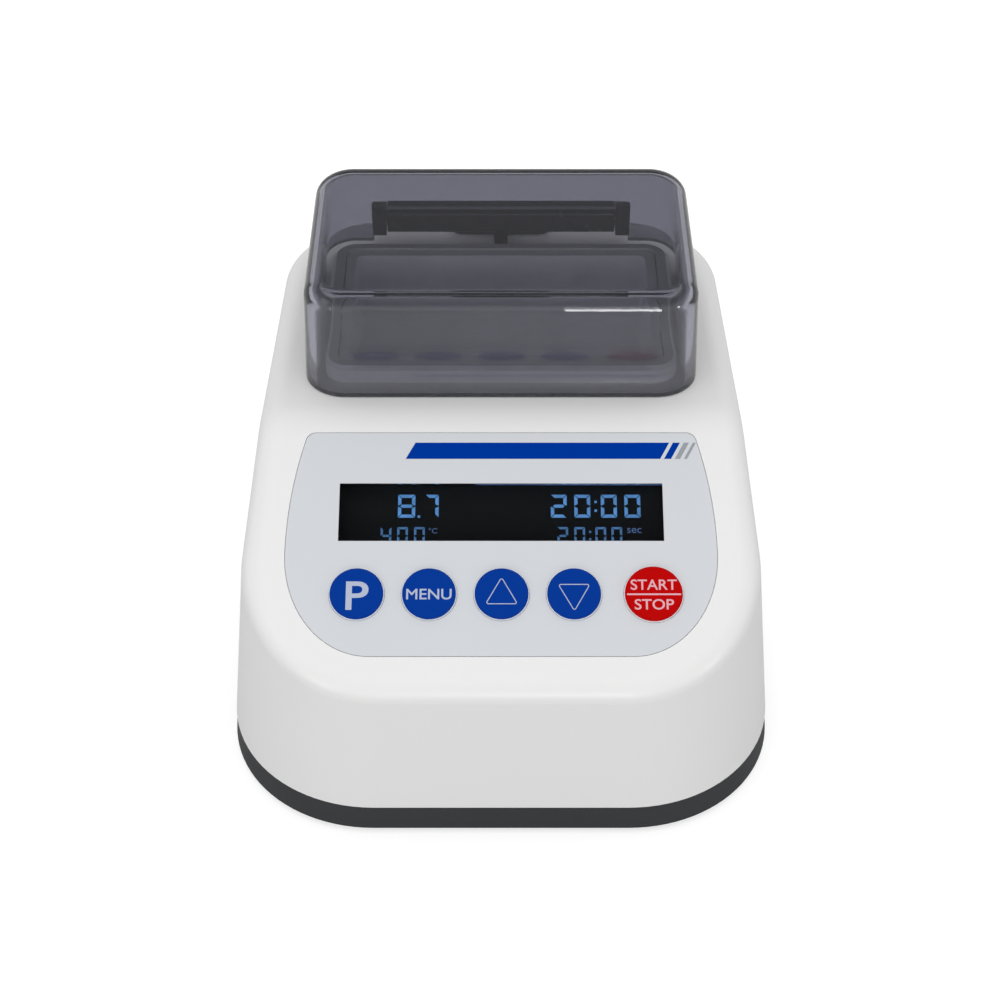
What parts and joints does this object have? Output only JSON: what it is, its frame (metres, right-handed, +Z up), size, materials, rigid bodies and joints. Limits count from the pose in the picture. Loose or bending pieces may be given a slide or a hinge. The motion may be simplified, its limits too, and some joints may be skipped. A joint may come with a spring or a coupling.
{
  "type": "dry bath incubator",
  "caption": "Bench dry bath: white moulded case with a sloped key panel and display, dark base tray, open heated metal well in a raised collar, and a hinged smoke-tinted lid.",
  "frame": {"origin": "middle of the case's footprint, on the surface the feet stand on", "axes": "+X to the user's right, +Y from the key panel to the rear, +Z up"},
  "size_m": [0.13, 0.1495, 0.1023],
  "materials": {
    "case_white": "fine satin moulded plastic",
    "tray_grey": "fine grained moulded plastic",
    "foot_rubber": "soft matt rubber",
    "panel_film": "printed film, low gloss",
    "window_clear": "clear hard-coated pane",
    "display_black": "black display glass",
    "holder_white": "white moulded plastic",
    "board_green": "solder mask over glass laminate",
    "steel": "zinc-plated",
    "switch_black": "black moulded plastic",
    "plunger_black": "black moulded plastic",
    "key_blue": "blue key cap",
    "key_red": "red key cap",
    "well_metal": "milled and bead-blasted",
    "sink_metal": "extruded",
    "heater_red": "silicone",
    "cutout_metal": "drawn can",
    "foam_grey": "closed-cell foam",
    "hinge_dark": "dark moulded plastic",
    "lid_smoke": "smoke-tinted clear plastic",
    "can_blue": "sleeved cans",
    "connector_white": "natural nylon",
    "pin_metal": "nickel-plated brass",
    "lead_black": "wire insulation",
    "ribbon_grey": "flat cable"
  },
  "bodies": {
    "case": {"base_tray": "tray_grey", "board_chips": "switch_black", "board_connectors": "connector_white", "board_screws": "steel", "buzzer": "switch_black", "capacitors": "can_blue", "case_screws": "steel", "control_overlay": "panel_film", "display_window": "window_clear", "front_board": "board_green", "front_board_screws": "steel", "heat_sink": "sink_metal", "heater_leads": "heater_red", "heater_pad": "heater_red", "hinge_bracket": "hinge_dark", "hinge_rod": "steel", "hinge_screws": "steel", "inlet_leads": "lead_black", "inlet_nut": "pin_metal", "inlet_pin": "pin_metal", "insulation_jacket": "foam_grey", "lcd_glass": "display_black", "lcd_holder": "holder_white", "main_board": "board_green", "power_inlet": "switch_black", "power_transistor": "switch_black", "probe_lead": "lead_black", "ribbon_cable": "ribbon_grey", "rubber_feet": "foot_rubber", "switch_frame": "switch_black", "switch_leads": "holder_white", "tact_switches": "switch_black", "temperature_probe": "cutout_metal", "thermal_cutout": "cutout_metal", "top_housing": "case_white", "well_block": "well_metal", "well_screws": "steel"},
    "lid_cover": {"lid": "lid_smoke"},
    "power_rocker": {"rocker": "switch_black"},
    "key_program": {"button_program": "key_blue", "plunger_program": "plunger_black"},
    "key_menu": {"button_menu": "key_blue", "plunger_menu": "plunger_black"},
    "key_up": {"button_up": "key_blue", "plunger_up": "plunger_black"},
    "key_down": {"button_down": "key_blue", "plunger_down": "plunger_black"},
    "key_start_stop": {"button_start_stop": "key_red", "plunger_start_stop": "plunger_black"}
  },
  "joints": [
    {"name": "lid_hinge", "type": "hinge", "parent": "case", "child": "lid_cover", "pos_m": [0, 0.058, 0.0835], "axis": [-1, 0, 0], "range_deg": [0, 100]},
    {"name": "rocker_tilt", "type": "hinge", "parent": "case", "child": "power_rocker", "pos_m": [0.017, 0.0704, 0.0225], "axis": [-1, 0, 0], "range_deg": [0, 22]},
    {"name": "press_program", "type": "slide", "parent": "case", "child": "key_program", "axis": [0, 0.4384, -0.8988], "range_m": [0, 0.0006], "stiffness_N_per_m": 400},
    {"name": "press_menu", "type": "slide", "parent": "case", "child": "key_menu", "axis": [0, 0.4384, -0.8988], "range_m": [0, 0.0006], "stiffness_N_per_m": 400},
    {"name": "press_up", "type": "slide", "parent": "case", "child": "key_up", "axis": [0, 0.4384, -0.8988], "range_m": [0, 0.0006], "stiffness_N_per_m": 400},
    {"name": "press_down", "type": "slide", "parent": "case", "child": "key_down", "axis": [0, 0.4384, -0.8988], "range_m": [0, 0.0006], "stiffness_N_per_m": 400},
    {"name": "press_start_stop", "type": "slide", "parent": "case", "child": "key_start_stop", "axis": [0, 0.4384, -0.8988], "range_m": [0, 0.0006], "stiffness_N_per_m": 400}
  ]
}
